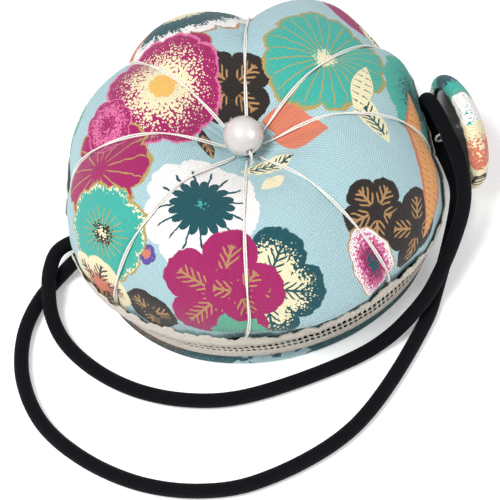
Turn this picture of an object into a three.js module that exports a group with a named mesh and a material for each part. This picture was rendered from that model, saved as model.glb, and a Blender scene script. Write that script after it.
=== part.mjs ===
// Wrist pin cushion: a stuffed eight-section cotton dome on a covered disc, trimmed with lace, with a pearl bead on top,
// and a loop of round elastic that hooks behind a covered button. Millimetres, +Z up. The origin is the centre of the
// disc's underside, and +X points to the button.
import * as THREE from "three";
import { mergeVertices } from "three/addons/utils/BufferGeometryUtils.js";

// Cushion: a squashed dome whose crown and underside are superellipses, with a dimple under the bead.
const CUSHION_RADIUS = 39;
const WIDEST_HEIGHT = 12.3;
const CROWN_HEIGHT = 27.1;
const UNDERSIDE_DEPTH = 9.65;
const CROWN_POWER = 3.1;
const UNDERSIDE_POWER = 2.35;
const CUSHION_FLOOR = 7.8;
const DIMPLE_DEPTH = 9.4;
const DIMPLE_RADIUS = 12.1;
const GROOVE_DEPTH = 2.2;
const LEAN = new THREE.Vector2(-3, 1); // how far the top leans away from the button
// How far the front, -Y, is tucked in: all of it up to the widest height, none of it above the second height.
const FRONT_TUCK = 6.5;
const TUCK_END_HEIGHT = 24;
// The azimuth of each thread, in degrees, and how much the section after it swells.
const THREAD_AZIMUTHS = [-157, -110, -61, -6, 27, 70, 117, 160];
const SECTION_SWELLS = [0.95, 1, 1, 1, 1.12, 1.04, 1, 1];
// Where the outline is fuller than a circle: azimuth, spread in azimuth, and the radius added there.
const BULGES = [
  [23, 10, 4.4],
  [46, 18, 2.5],
  [90, 26, 1.5],
];
const STEPS_PER_SECTION = 6;
const COVER_THICKNESS = 0.8;
const TOP_HOLE_RADIUS = 2;
const GATHER_RADIUS = 8;

const FIT_GAP = 0.3; // left between pieces that touch
const THREAD_DIAMETER = 0.9;
const CORE_DIAMETER = 2;

const BASE_RADIUS = 35.8;
const BASE_TUCK = 4.9; // the disc's own front is tucked in less
const BASE_THICKNESS = 4.2;
const BASE_CLOTH = 0.6;
const BASE_FOLD_RADIUS = 24;
const GLUE_RADIUS = 30;
const LACE_BOTTOM = 4.5;
const LACE_SHARES = [0.95, 0.99]; // where the band's upper part lies on the cushion's underside
const LACE_THICKNESS = 0.5;
const LACE_OPENING = [166, 180]; // the band's two ends, in degrees, either side of the elastic

const PEARL_RADIUS = 4;
const PEARL_HOLE_RADIUS = 0.8;
const PEARL_HEIGHT = 35.3;
const STITCH_DIAMETER = 0.7;

const ELASTIC_DIAMETER = 3;
const ELASTIC_REST = 1.55; // centre height where it lies on the table
const ELASTIC_END_Y = [2.9, 6.6];
const ELASTIC_END_Z = 5.95;

const BUTTON_RADIUS = 12;
const BUTTON_HEIGHT = 13; // of its centre
const BUTTON_BACK = 42.5;
const BUTTON_DOME = 4.1;
const BACK_PLATE_RADIUS = 9.4;
const LOOP_RADIUS = 1.9;
const LOOP_WIRE = 0.8;
const LOOP_CENTRE = 42.1;

const material = (color, roughness, metalness = 0) =>
  new THREE.MeshStandardMaterial({ color, roughness, metalness });
const FLORAL = material(0xb5d3d8, 0.9);
const FIBRE = material(0xf4f4f0, 1);
const WHITE_THREAD = material(0xefeae4, 0.7);
const PEARL = material(0xf3eff0, 0.2);
const LACE = material(0xcfc4b5, 0.9);
const GLUE = material(0xe9e4d6, 0.4);
const BOARD = material(0x9c8a70, 0.9);
const BASE_PRINT = material(0x1d5a62, 0.9);
const ELASTIC = material(0x15161b, 0.8);
const STEEL = material(0xb9bbbd, 0.35, 1);

const radians = THREE.MathUtils.degToRad;
const range = (n) => Array.from({ length: n }, (_, i) => i);

// A closed surface through rings of equal length. It joins the last ring to the first, or caps both ends.
function loft(rings, capped = false) {
  const n = rings[0].length;
  const index = [];
  const quad = (a, b, c, d) => index.push(a, b, c, a, c, d);
  const joins = capped ? rings.length - 1 : rings.length;
  for (const i of range(joins)) {
    const next = (i + 1) % rings.length;
    for (const j of range(n)) {
      const k = (j + 1) % n;
      quad(i * n + j, next * n + j, next * n + k, i * n + k);
    }
  }
  if (capped) {
    const last = (rings.length - 1) * n;
    for (let j = 1; j < n - 1; j++) {
      index.push(0, j, j + 1);
      index.push(last, last + j + 1, last + j);
    }
  }
  const geometry = new THREE.BufferGeometry().setFromPoints(rings.flat());
  geometry.setIndex(index);
  return geometry;
}

function polygon(radius, sides) {
  const corner = (i) => {
    const a = (2 * Math.PI * i) / sides;
    return new THREE.Vector2(radius * Math.cos(a), radius * Math.sin(a));
  };
  return new THREE.Shape(range(sides).map(corner));
}

// A round tube along a smooth curve through the points.
function tube(points, diameter, sides, steps) {
  const extrudePath = new THREE.CatmullRomCurve3(points, false, "centripetal");
  const shape = polygon(diameter / 2, sides);
  return new THREE.ExtrudeGeometry(shape, { steps, extrudePath });
}

const lathe = (profile, segments) =>
  new THREE.LatheGeometry(profile.map(([r, y]) => new THREE.Vector2(r, y)), segments);

function node(name, geometry, look) {
  const mesh = new THREE.Mesh(geometry, look);
  mesh.name = name;
  return mesh;
}

// Where an azimuth lies between two threads: 0 at both threads and 1 in the middle, with that section's swell.
function section(azimuth) {
  const turn = (a) => THREE.MathUtils.euclideanModulo(a, 360);
  const count = THREAD_AZIMUTHS.length;
  for (const i of range(count)) {
    const width = turn(THREAD_AZIMUTHS[(i + 1) % count] - THREAD_AZIMUTHS[i]);
    const along = turn(azimuth - THREAD_AZIMUTHS[i]);
    if (along < width) return { crown: Math.sin((Math.PI * along) / width), swell: SECTION_SWELLS[i] };
  }
}

const heightAt = (share, below, inset) => {
  const power = below ? UNDERSIDE_POWER : CROWN_POWER;
  const rise = below ? inset - UNDERSIDE_DEPTH : CROWN_HEIGHT - inset;
  return WIDEST_HEIGHT + rise * Math.sqrt(Math.max(0, 1 - share ** power));
};

// Moves a point of the front half backwards, by the amount where the cushion is widest.
function tuckFront(p, amount) {
  if (p.y < 0) p.y += amount * (p.y / CUSHION_RADIUS) ** 2;
  return p;
}

function tuckGeometry(geometry, amount) {
  const place = geometry.getAttribute("position");
  for (const i of range(place.count)) {
    const p = tuckFront(new THREE.Vector3().fromBufferAttribute(place, i), amount);
    place.setXYZ(i, p.x, p.y, p.z);
  }
  return geometry;
}

const leanAt = (z) => LEAN.clone().multiplyScalar(z / (WIDEST_HEIGHT + CROWN_HEIGHT));

const bulgeAt = (azimuth) =>
  BULGES.reduce((sum, [centre, spread, amount]) => {
    const away = THREE.MathUtils.euclideanModulo(azimuth - centre + 180, 360) - 180;
    return sum + amount * Math.exp(-((away / spread) ** 2));
  }, 0);

// A point of the cushion's surface, or of a surface inside it by inset. share is the radius over the widest radius.
function cushionPoint(azimuth, share, below = false, inset = 0, groove = GROOVE_DEPTH) {
  const { crown, swell } = section(azimuth);
  const widest = CUSHION_RADIUS - inset;
  const floor = CUSHION_FLOOR + inset;
  let z = heightAt(share, below, inset);
  const fullness = below ? (z - floor) / (WIDEST_HEIGHT - floor) : 1;
  let r = share * (widest + (widest * (swell - 1) * crown + bulgeAt(azimuth)) * Math.max(0, fullness));
  z -= DIMPLE_DEPTH * Math.exp(-((r / DIMPLE_RADIUS) ** 2)) * (below ? 0 : 1);
  const sunk = groove * (1 - crown ** 0.7) * Math.min(1, 1.5 * share);
  r -= sunk * Math.max(0.25, share);
  z -= below ? 0 : sunk * Math.sqrt(1 - share ** 2);
  const lean = leanAt(z);
  const a = radians(azimuth);
  const amount = FRONT_TUCK * (1 - THREE.MathUtils.smoothstep(z, WIDEST_HEIGHT, TUCK_END_HEIGHT));
  const p = tuckFront(new THREE.Vector3(r * Math.cos(a), r * Math.sin(a), z), amount);
  return p.add(new THREE.Vector3(lean.x, lean.y, 0));
}

const RING_AZIMUTHS = THREAD_AZIMUTHS.flatMap((start, i) => {
  const next = THREAD_AZIMUTHS[(i + 1) % THREAD_AZIMUTHS.length];
  const width = THREE.MathUtils.euclideanModulo(next - start, 360);
  return range(STEPS_PER_SECTION).map((k) => start + (width * k) / STEPS_PER_SECTION);
});

const CROWN_SHARES = [0.14, 0.28, 0.42, 0.57, 0.72, 0.84, 0.93, 0.98, 1];
const UNDERSIDE_STEPS = [0.3, 0.65, 1]; // from the widest ring to the floor's edge
const floorShare = (inset) => {
  const drop = (WIDEST_HEIGHT - CUSHION_FLOOR - inset) / (UNDERSIDE_DEPTH - inset);
  return (1 - drop ** 2) ** (1 / UNDERSIDE_POWER);
};

// A ring of the given radius about the cushion's leaning axis.
function axisRing(radius, z) {
  const lean = leanAt(z);
  return RING_AZIMUTHS.map((azimuth) => {
    const a = radians(azimuth);
    return new THREE.Vector3(radius * Math.cos(a) + lean.x, radius * Math.sin(a) + lean.y, z);
  });
}

// The rings of one skin of the cushion, from the hole under the bead round to the hole in its floor.
function skin(inset, floorHole) {
  const ring = (share, below) => RING_AZIMUTHS.map((a) => cushionPoint(a, share, below, inset));
  const rim = cushionPoint(THREAD_AZIMUTHS[0], TOP_HOLE_RADIUS / CUSHION_RADIUS, false, inset, 0);
  const lowest = floorShare(inset);
  return [
    axisRing(TOP_HOLE_RADIUS, rim.z),
    ...CROWN_SHARES.map((share) => ring(share, false)),
    ...UNDERSIDE_STEPS.map((step) => ring(1 - (1 - lowest) * step, true)),
    axisRing(floorHole, CUSHION_FLOOR + inset),
  ];
}

function cushion() {
  const inside = COVER_THICKNESS + 2 * FIT_GAP;
  const cover = [...skin(0, GATHER_RADIUS), ...skin(COVER_THICKNESS, GATHER_RADIUS).reverse()];
  const filling = skin(inside, TOP_HOLE_RADIUS);
  const gather = range(16).map((i) => {
    const a = (2 * Math.PI * i) / 16;
    const r = GATHER_RADIUS - 1;
    const lean = leanAt(CUSHION_FLOOR);
    return new THREE.Vector3(r * Math.cos(a) + lean.x, r * Math.sin(a) + lean.y, CUSHION_FLOOR + 0.3);
  });
  const coreEnds = [CUSHION_FLOOR, WIDEST_HEIGHT + CROWN_HEIGHT - DIMPLE_DEPTH].map((z) => {
    const lean = leanAt(z);
    return new THREE.Vector3(lean.x, lean.y, z);
  });
  return new THREE.Group().add(
    node("floral_cover", loft(cover), FLORAL),
    node("fibre_filling", loft(filling), FIBRE),
    node("gathering_thread", closedTube(gather, 0.6), WHITE_THREAD),
    node("core_thread", tube(coreEnds, CORE_DIAMETER, 10, 1), WHITE_THREAD),
  );
}

// A ring of tube through the points, whose first and last sections are the same one.
function closedTube(points, diameter, sides = 6) {
  const centre = points.reduce((sum, p) => sum.add(p), new THREE.Vector3()).divideScalar(points.length);
  const axis = points[0].clone().sub(centre).cross(points[1].clone().sub(centre)).normalize();
  const ring = (p) => {
    const out = p.clone().sub(centre).normalize();
    return range(sides).map((k) => {
      const a = (2 * Math.PI * k) / sides;
      return p
        .clone()
        .addScaledVector(out, (diameter / 2) * Math.cos(a))
        .addScaledVector(axis, (diameter / 2) * Math.sin(a));
    });
  };
  return loft(points.map(ring));
}

// One wrap of thread: from beside the bead, down the groove between two sections and in under the cushion.
function sectionThread(azimuth) {
  const lift = FIT_GAP + THREAD_DIAMETER / 2;
  const step = 0.01;
  const raised = (share, below) => {
    const p = cushionPoint(azimuth, share, below);
    const along = cushionPoint(azimuth, Math.min(share + step, 1), below);
    along.sub(cushionPoint(azimuth, Math.min(share + step, 1) - 2 * step, below));
    const a = radians(azimuth);
    const side = new THREE.Vector3(-Math.sin(a), Math.cos(a), 0);
    const normal = along.cross(side).normalize();
    if (below) normal.negate();
    return p.addScaledVector(normal, lift);
  };
  const lowest = cushionPoint(azimuth, floorShare(0), true);
  const outward = new THREE.Vector3(Math.cos(radians(azimuth)), Math.sin(radians(azimuth)), 0);
  const turned = lowest.clone().addScaledVector(outward, lift * 0.7);
  turned.z -= lift * 0.7;
  const under = lowest.clone().addScaledVector(outward, -1.2);
  under.z = CUSHION_FLOOR - lift;
  const points = [
    ...[0.09, 0.16, 0.28, 0.42, 0.57, 0.72, 0.84, 0.93, 0.98].map((share) => raised(share, false)),
    ...[1, 0.98, 0.95].map((share) => raised(share, true)),
    turned,
    under,
  ];
  return tube(points, THREAD_DIAMETER, 6, 26);
}

function pearl() {
  const arcs = 10;
  const start = Math.asin(PEARL_HOLE_RADIUS / PEARL_RADIUS);
  const profile = range(arcs + 1).map((i) => {
    const a = Math.PI - start - ((Math.PI - 2 * start) * i) / arcs;
    return [PEARL_RADIUS * Math.sin(a), PEARL_RADIUS * Math.cos(a)];
  });
  const bead = node("pearl_bead", lathe([...profile, profile[0]], 20), PEARL);
  bead.position.set(LEAN.x, LEAN.y, PEARL_HEIGHT);
  const reach = PEARL_RADIUS + 0.9;
  const foot = PEARL_HEIGHT - 3.1;
  const route = [
    [-reach, foot],
    [-reach, PEARL_HEIGHT - 1.4],
    [-reach + 0.5, PEARL_HEIGHT - 0.2],
    [-PEARL_RADIUS + 0.3, PEARL_HEIGHT],
    [PEARL_RADIUS - 0.3, PEARL_HEIGHT],
    [reach - 0.5, PEARL_HEIGHT - 0.2],
    [reach, PEARL_HEIGHT - 1.4],
    [reach, foot],
  ].map(([y, z]) => new THREE.Vector3(LEAN.x, LEAN.y + y, z));
  return new THREE.Group().add(bead, node("pearl_stitch", tube(route, STITCH_DIAMETER, 6, 24), WHITE_THREAD));
}

// The band round the joint between disc and cushion. It follows the sections but bridges the grooves.
function laceTrim() {
  const levels = [LACE_BOTTOM, CUSHION_FLOOR - 0.3];
  const strips = 60;
  const [start, end] = LACE_OPENING;
  const span = 360 - (end - start);
  const rings = range(strips + 1).map((i) => {
    const azimuth = end + (span * i) / strips;
    const a = radians(azimuth);
    const outward = new THREE.Vector3(Math.cos(a), Math.sin(a), 0);
    const inner = levels.map((z) => {
      const p = tuckFront(outward.clone().multiplyScalar(BASE_RADIUS), BASE_TUCK);
      return p.setZ(z).addScaledVector(outward, LACE_THICKNESS);
    });
    for (const share of LACE_SHARES) {
      inner.push(cushionPoint(azimuth, share, true, 0, 0).addScaledVector(outward, FIT_GAP));
    }
    const outer = inner.map((p) => p.clone().addScaledVector(outward, LACE_THICKNESS));
    return [...inner, ...outer.reverse()].reverse();
  });
  return node("lace_trim", loft(rings, true), LACE);
}

function base() {
  const cloth = BASE_CLOTH;
  const r = BASE_RADIUS;
  const t = BASE_THICKNESS;
  const cover = [
    [0, 0],
    [r - cloth, 0],
    [r, cloth],
    [r, t - cloth],
    [r - cloth, t],
    [BASE_FOLD_RADIUS, t],
    [BASE_FOLD_RADIUS, t - cloth],
    [r - cloth, t - cloth],
    [r - cloth, cloth],
    [0, cloth],
  ];
  const board = [
    [0, cloth + FIT_GAP],
    [r - cloth - FIT_GAP, cloth + FIT_GAP],
    [r - cloth - FIT_GAP, t - cloth - FIT_GAP],
    [0, t - cloth - FIT_GAP],
  ];
  const disc = (profile) => tuckGeometry(lathe(profile, 48).rotateX(Math.PI / 2), BASE_TUCK);
  return new THREE.Group().add(
    node("base_cover", disc(cover), BASE_PRINT),
    node("base_board", disc(board), BOARD),
    glueBed(),
  );
}

// The glue between disc and cushion, with a slot for the two ends of the elastic.
function glueBed() {
  const [low, high] = [ELASTIC_END_Y[0] - 2, ELASTIC_END_Y[1] + 2];
  const depth = 14;
  const from = Math.PI - Math.asin(high / GLUE_RADIUS);
  const to = Math.PI - Math.asin(low / GLUE_RADIUS) - 2 * Math.PI;
  const outline = new THREE.Shape();
  outline.absarc(0, 0, GLUE_RADIUS, from, to, true);
  outline.lineTo(depth - GLUE_RADIUS, low);
  outline.lineTo(depth - GLUE_RADIUS, high);
  outline.closePath();
  const bottom = BASE_THICKNESS + FIT_GAP;
  const height = CUSHION_FLOOR - FIT_GAP - bottom;
  const bed = new THREE.ExtrudeGeometry(outline, { depth: height, bevelEnabled: false, curveSegments: 20 });
  const mesh = node("glue_bed", tuckGeometry(bed, FRONT_TUCK), GLUE);
  mesh.position.z = bottom;
  return mesh;
}

// The elastic's route: out of the disc's edge, round the table in front, up to the button, round behind it and back.
const ELASTIC_ROUTE = [
  [-20, ELASTIC_END_Y[0], ELASTIC_END_Z],
  [-35, ELASTIC_END_Y[0], ELASTIC_END_Z],
  [-38.8, 2.8, 4.9],
  [-42.2, 2.2, 2.4],
  [-48.9, -2, ELASTIC_REST],
  [-54.2, -8.6, ELASTIC_REST],
  [-57.3, -18, ELASTIC_REST],
  [-56.6, -28.6, ELASTIC_REST],
  [-51.4, -38.6, ELASTIC_REST],
  [-42.5, -47.6, ELASTIC_REST],
  [-31.8, -53.2, ELASTIC_REST],
  [-20.5, -55.2, ELASTIC_REST],
  [1, -50.9, ELASTIC_REST],
  [23.3, -34, ELASTIC_REST],
  [28, -28.4, 2],
  [39.4, -11.2, 7.8],
  [40.3, -5.5, 8.3],
  [40.1, 4.4, 8.4],
  [40, 7.7, 9.8],
  [40, 9, 13],
  [40, 7.7, 16.2],
  [40.1, 4.4, 17.6],
  [40.2, 0, 17.6],
  [39.8, -11.5, 15.9],
  [37.6, -17.6, 13],
  [27.3, -28.5, 6.4],
  [21.2, -32.3, 4.2],
  [14, -34.9, 1.8],
  [4.5, -36.7, ELASTIC_REST],
  [-17.5, -36.8, ELASTIC_REST],
  [-28, -33.6, ELASTIC_REST],
  [-36.8, -28, ELASTIC_REST],
  [-43.2, -20.7, ELASTIC_REST],
  [-46.9, -12.8, ELASTIC_REST],
  [-47.6, -6.6, 2.4],
  [-46.7, -2.2, 4.4],
  [-45, 2, 5.5],
  [-42, 5.5, 6],
  [-35, ELASTIC_END_Y[1], ELASTIC_END_Z],
  [-20, ELASTIC_END_Y[1], ELASTIC_END_Z],
].map((p) => new THREE.Vector3(...p));

// A covered button: a domed shell under cloth, a plate pressed in behind, and a wire loop that the stitch holds.
function button() {
  const front = BUTTON_BACK + BUTTON_DOME + 1.3;
  const arc = (radius, apex, edge) =>
    range(7).map((i) => {
      const a = (Math.PI / 2) * (i / 6);
      return [radius * Math.sin(a), edge + (apex - edge) * Math.cos(a)];
    });
  const rim = BUTTON_BACK + 1.2;
  const cloth = [
    [BACK_PLATE_RADIUS + 0.4, BUTTON_BACK],
    [BUTTON_RADIUS - 0.5, BUTTON_BACK + 0.1],
    ...arc(BUTTON_RADIUS, front, rim).reverse(),
    ...arc(BUTTON_RADIUS - 0.4, front - 0.4, rim),
    [BUTTON_RADIUS - 0.7, BUTTON_BACK + 0.4],
    [BACK_PLATE_RADIUS + 0.4, BUTTON_BACK + 0.3],
    [BACK_PLATE_RADIUS + 0.4, BUTTON_BACK],
  ];
  const shell = [
    ...arc(BUTTON_RADIUS - 1.2, front - 1.2, rim),
    [BUTTON_RADIUS - 1.2, BUTTON_BACK + 0.7],
    [BUTTON_RADIUS - 0.7, BUTTON_BACK + 0.7],
    ...arc(BUTTON_RADIUS - 0.7, front - 0.7, rim).reverse(),
  ];
  const faces = new THREE.Group();
  faces.rotation.z = -Math.PI / 2; // a lathe's own Y becomes the button's axis, +X
  faces.position.z = BUTTON_HEIGHT;
  faces.add(
    node("button_fabric", lathe(cloth, 28), FLORAL),
    node("button_shell", lathe(shell, 28), STEEL),
  );
  return new THREE.Group().add(faces, backPlate(), wireLoop(), buttonStitch());
}

function backPlate() {
  const outline = polygon(BACK_PLATE_RADIUS, 28);
  for (const side of [-1, 1]) {
    const hole = new THREE.Path();
    hole.absarc(side * LOOP_RADIUS, 0, LOOP_WIRE / 2 + FIT_GAP, 0, 2 * Math.PI, true);
    outline.holes.push(hole);
  }
  const plate = new THREE.ExtrudeGeometry(outline, { depth: 0.8, bevelEnabled: false, curveSegments: 5 });
  const mesh = node("button_back_plate", plate, STEEL);
  const diagonal = new THREE.Vector3(1, 1, 1).normalize();
  mesh.quaternion.setFromAxisAngle(diagonal, (2 * Math.PI) / 3); // turns X to Y, Y to Z, and the depth, Z, to X
  mesh.position.set(BUTTON_BACK + 0.3, 0, BUTTON_HEIGHT);
  return mesh;
}

function wireLoop() {
  const foot = LOOP_CENTRE + 2.4;
  const bend = range(7).map((i) => {
    const a = (Math.PI * i) / 6;
    return [LOOP_CENTRE - LOOP_RADIUS * Math.sin(a), LOOP_RADIUS * Math.cos(a)];
  });
  const route = [
    [foot, LOOP_RADIUS + 1.8],
    [foot, LOOP_RADIUS + 0.7],
    [foot - 0.4, LOOP_RADIUS + 0.1],
    ...bend,
    [foot - 0.4, -LOOP_RADIUS - 0.1],
    [foot, -LOOP_RADIUS - 0.7],
    [foot, -LOOP_RADIUS - 1.8],
  ].map(([x, y]) => new THREE.Vector3(x, y, BUTTON_HEIGHT));
  return node("button_wire_loop", tube(route, LOOP_WIRE, 6, 28), STEEL);
}

// The thread that ties the wire loop to the cushion: it passes through the loop as one link through another.
function buttonStitch() {
  const radius = 1.3;
  const centre = LOOP_CENTRE - LOOP_RADIUS - 0.1;
  const points = range(14).map((i) => {
    const a = (2 * Math.PI * i) / 14;
    return new THREE.Vector3(centre + radius * Math.cos(a), 0, BUTTON_HEIGHT + radius * Math.sin(a));
  });
  return node("button_stitch", closedTube(points, 0.6), WHITE_THREAD);
}

// Extruded and turned geometries repeat their vertices along seams. Shared ones make each piece plainly closed.
function closeSeams(group) {
  group.traverse((piece) => {
    if (!piece.isMesh) return;
    piece.geometry.deleteAttribute("normal");
    piece.geometry.deleteAttribute("uv");
    piece.geometry = mergeVertices(piece.geometry, 1e-4);
    piece.geometry.computeVertexNormals();
  });
  return group;
}

const pinCushion = new THREE.Group();
pinCushion.add(
  cushion(),
  ...THREAD_AZIMUTHS.map((azimuth, i) => node(`section_thread_${i + 1}`, sectionThread(azimuth), WHITE_THREAD)),
  pearl(),
  laceTrim(),
  base(),
  node("elastic_loop", tube(ELASTIC_ROUTE, ELASTIC_DIAMETER, 8, 80), ELASTIC),
  button(),
);

export default closeSeams(pinCushion);
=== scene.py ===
"""Wrist pin cushion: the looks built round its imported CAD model.

Lengths are millimetres in the part's own frame, +Z up and +X towards the button, until a mesh is made.
Only the distances of bump nodes, the floor and the lights are metres.
"""

import math

import bpy
import numpy as np
from mathutils import Matrix, Vector


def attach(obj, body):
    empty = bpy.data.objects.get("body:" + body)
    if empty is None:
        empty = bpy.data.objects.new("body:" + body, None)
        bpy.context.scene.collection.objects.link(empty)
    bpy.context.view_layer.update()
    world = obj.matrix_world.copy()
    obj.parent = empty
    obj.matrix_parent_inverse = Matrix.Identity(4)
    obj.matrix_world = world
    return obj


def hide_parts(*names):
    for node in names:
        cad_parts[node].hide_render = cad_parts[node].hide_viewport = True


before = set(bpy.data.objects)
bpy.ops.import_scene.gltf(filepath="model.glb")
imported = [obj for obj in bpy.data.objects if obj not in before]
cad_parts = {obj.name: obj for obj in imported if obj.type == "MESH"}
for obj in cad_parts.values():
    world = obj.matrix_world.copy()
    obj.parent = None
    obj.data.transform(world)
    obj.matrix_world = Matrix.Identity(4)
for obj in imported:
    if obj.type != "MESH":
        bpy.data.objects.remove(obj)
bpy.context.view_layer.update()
MM = 0.001

# ---------------------------------------------------------------- camera

CAMERA_AIM = (-5.8, -10.1, 10.0)
CAMERA_DISTANCE = 448.5
CAMERA_AZIMUTH = -18.96
CAMERA_ELEVATION = 60.48
CAMERA_ROLL = -0.97
CAMERA_LENS = 158.8


def add_camera():
    azimuth = math.radians(CAMERA_AZIMUTH)
    tilt = math.radians(90 - CAMERA_ELEVATION)
    turn = Matrix.Rotation(azimuth, 4, "Z") @ Matrix.Rotation(tilt, 4, "X")
    turn = turn @ Matrix.Rotation(math.radians(CAMERA_ROLL), 4, "Z")
    back = turn @ Vector((0, 0, CAMERA_DISTANCE))
    data = bpy.data.cameras.new("camera")
    data.lens = CAMERA_LENS
    data.sensor_width = 36
    data.clip_start = 0.02
    camera = bpy.data.objects.new("camera", data)
    bpy.context.scene.collection.objects.link(camera)
    camera.matrix_world = Matrix.Translation((Vector(CAMERA_AIM) + back) * MM) @ turn
    bpy.context.scene.camera = camera


add_camera()

# ---------------------------------------------------------------- curves and meshes


def smooth_path(points, step):
    """A centripetal Catmull-Rom curve through the points, resampled at equal steps."""
    p = np.asarray(points, float)
    p = np.vstack([2 * p[0] - p[1], p, 2 * p[-1] - p[-2]])
    fine = []
    for a, b, c, d in zip(p, p[1:], p[2:], p[3:]):
        knots = np.cumsum([0] + [np.linalg.norm(v) ** 0.5 for v in (b - a, c - b, d - c)])
        t = np.linspace(knots[1], knots[2], 24, endpoint=False)[:, None]

        def lerp(u, v, i, j):
            return ((knots[j] - t) * u + (t - knots[i]) * v) / (knots[j] - knots[i])

        first, middle, last = lerp(a, b, 0, 1), lerp(b, c, 1, 2), lerp(c, d, 2, 3)
        fine.append(lerp(lerp(first, middle, 0, 2), lerp(middle, last, 1, 3), 1, 2))
    fine = np.vstack(fine + [p[-2][None]])
    return resample(fine, step)


def resample(points, step):
    along = np.concatenate([[0], np.cumsum(np.linalg.norm(np.diff(points, axis=0), axis=1))])
    count = max(2, round(along[-1] / step) + 1)
    wanted = np.linspace(0, along[-1], count)
    return np.stack([np.interp(wanted, along, points[:, i]) for i in range(3)], -1)


def frames_along(path):
    """Tangent, normal and side at each point, carried along without twisting."""
    tangents = np.gradient(path, axis=0)
    tangents /= np.linalg.norm(tangents, axis=1)[:, None]
    start = np.array([0.0, 0, 1]) if abs(tangents[0][2]) < 0.9 else np.array([1.0, 0, 0])
    normals = [start]
    for tangent in tangents:
        n = normals[-1] - tangent * (normals[-1] @ tangent)
        normals.append(n / np.linalg.norm(n))
    normals = np.array(normals[1:])
    return tangents, normals, np.cross(tangents, normals)


def mesh_object(name, vertices, faces, uv=None):
    """A mesh from points in millimetres. uv gives each face corner's place on the cloth, in millimetres."""
    mesh = bpy.data.meshes.new(name)
    mesh.from_pydata((np.asarray(vertices, float) * MM).tolist(), [], [list(f) for f in faces])
    if uv is not None:
        layer = mesh.uv_layers.new(name="Cloth")
        layer.data.foreach_set("uv", np.asarray(uv, np.float32).ravel())
    mesh.shade_smooth()
    piece = bpy.data.objects.new(name, mesh)
    bpy.context.scene.collection.objects.link(piece)
    return piece


def tube_mesh(path, radius, sides, start=0):
    """Vertices, faces and corner UVs of a round tube with closed ends. Its UV is length along and angle round."""
    _, normals, across = frames_along(path)
    angles = 2 * np.pi * np.arange(sides) / sides
    ring = np.cos(angles)[None, :, None] * normals[:, None] + np.sin(angles)[None, :, None] * across[:, None]
    vertices = (path[:, None] + radius * ring).reshape(-1, 3)
    step = np.linalg.norm(path[1] - path[0])
    faces, uv = [], []
    for i in range(len(path) - 1):
        for j in range(sides):
            k = (j + 1) % sides
            faces.append([i * sides + j, i * sides + k, (i + 1) * sides + k, (i + 1) * sides + j])
            uv += [(i * step, j), (i * step, j + 1), ((i + 1) * step, j + 1), ((i + 1) * step, j)]
    last = (len(path) - 1) * sides
    for cap in (list(range(sides))[::-1], [last + j for j in range(sides)]):
        faces.append(cap)
        uv += [(0, 0)] * sides
    uv = np.array(uv, float) * [1, 1 / sides]
    return vertices, [[v + start for v in f] for f in faces], uv


def tube_object(name, paths, radius, sides):
    """One mesh of a tube along each path."""
    vertices, faces, uv = [], [], []
    for path in paths:
        v, f, t = tube_mesh(path, radius, sides, sum(len(x) for x in vertices))
        vertices.append(v)
        faces += f
        uv.append(t)
    return mesh_object(name, np.vstack(vertices), faces, np.vstack(uv))


def twisted(path, strands, offset, pitch):
    """The centrelines of strands twisted round a path."""
    _, normals, across = frames_along(path)
    step = np.linalg.norm(path[1] - path[0])
    turn = 2 * np.pi * np.arange(len(path)) * step / pitch
    phases = 2 * np.pi * np.arange(strands) / strands
    return [
        path + offset * (np.cos(turn + a)[:, None] * normals + np.sin(turn + a)[:, None] * across)
        for a in phases
    ]


def dress(piece, *materials):
    piece.data.materials.clear()
    for material in materials:
        piece.data.materials.append(material)


# ---------------------------------------------------------------- elastic: the route of the CAD tube

ELASTIC_DIAMETER = 3.0
ELASTIC_REST = 1.55
ELASTIC_END_Z = 5.95
ELASTIC_ROUTE = [
    (-20, 2.9, ELASTIC_END_Z),
    (-35, 2.9, ELASTIC_END_Z),
    (-38.8, 2.8, 4.9),
    (-42.2, 2.2, 2.4),
    (-48.9, -2, ELASTIC_REST),
    (-54.2, -8.6, ELASTIC_REST),
    (-57.3, -18, ELASTIC_REST),
    (-56.6, -28.6, ELASTIC_REST),
    (-51.4, -38.6, ELASTIC_REST),
    (-42.5, -47.6, ELASTIC_REST),
    (-31.8, -53.2, ELASTIC_REST),
    (-20.5, -55.2, ELASTIC_REST),
    (1, -50.9, ELASTIC_REST),
    (23.3, -34, ELASTIC_REST),
    (28, -28.4, 2),
    (39.4, -11.2, 7.8),
    (40.3, -5.5, 8.3),
    (40.1, 4.4, 8.4),
    (40, 7.7, 9.8),
    (40, 9, 13),
    (40, 7.7, 16.2),
    (40.1, 4.4, 17.6),
    (40.2, 0, 17.6),
    (39.8, -11.5, 15.9),
    (37.6, -17.6, 13),
    (27.3, -28.5, 6.4),
    (21.2, -32.3, 4.2),
    (14, -34.9, 1.8),
    (4.5, -36.7, ELASTIC_REST),
    (-17.5, -36.8, ELASTIC_REST),
    (-28, -33.6, ELASTIC_REST),
    (-36.8, -28, ELASTIC_REST),
    (-43.2, -20.7, ELASTIC_REST),
    (-46.9, -12.8, ELASTIC_REST),
    (-47.6, -6.6, 2.4),
    (-46.7, -2.2, 4.4),
    (-45, 2, 5.5),
    (-42, 5.5, 6),
    (-35, 6.6, ELASTIC_END_Z),
    (-20, 6.6, ELASTIC_END_Z),
]


def elastic_piece():
    path = smooth_path(ELASTIC_ROUTE, 0.8)
    piece = tube_object("elastic", [path], ELASTIC_DIAMETER / 2, 20)
    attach(piece, "cushion")
    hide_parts("elastic_loop")
    [c * MM for c in path[0]]
    [[float(c) * MM for c in p] for p in path]
    return piece


elastic = elastic_piece()

# ---------------------------------------------------------------- cushion shape: the CAD model's own formula

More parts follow.
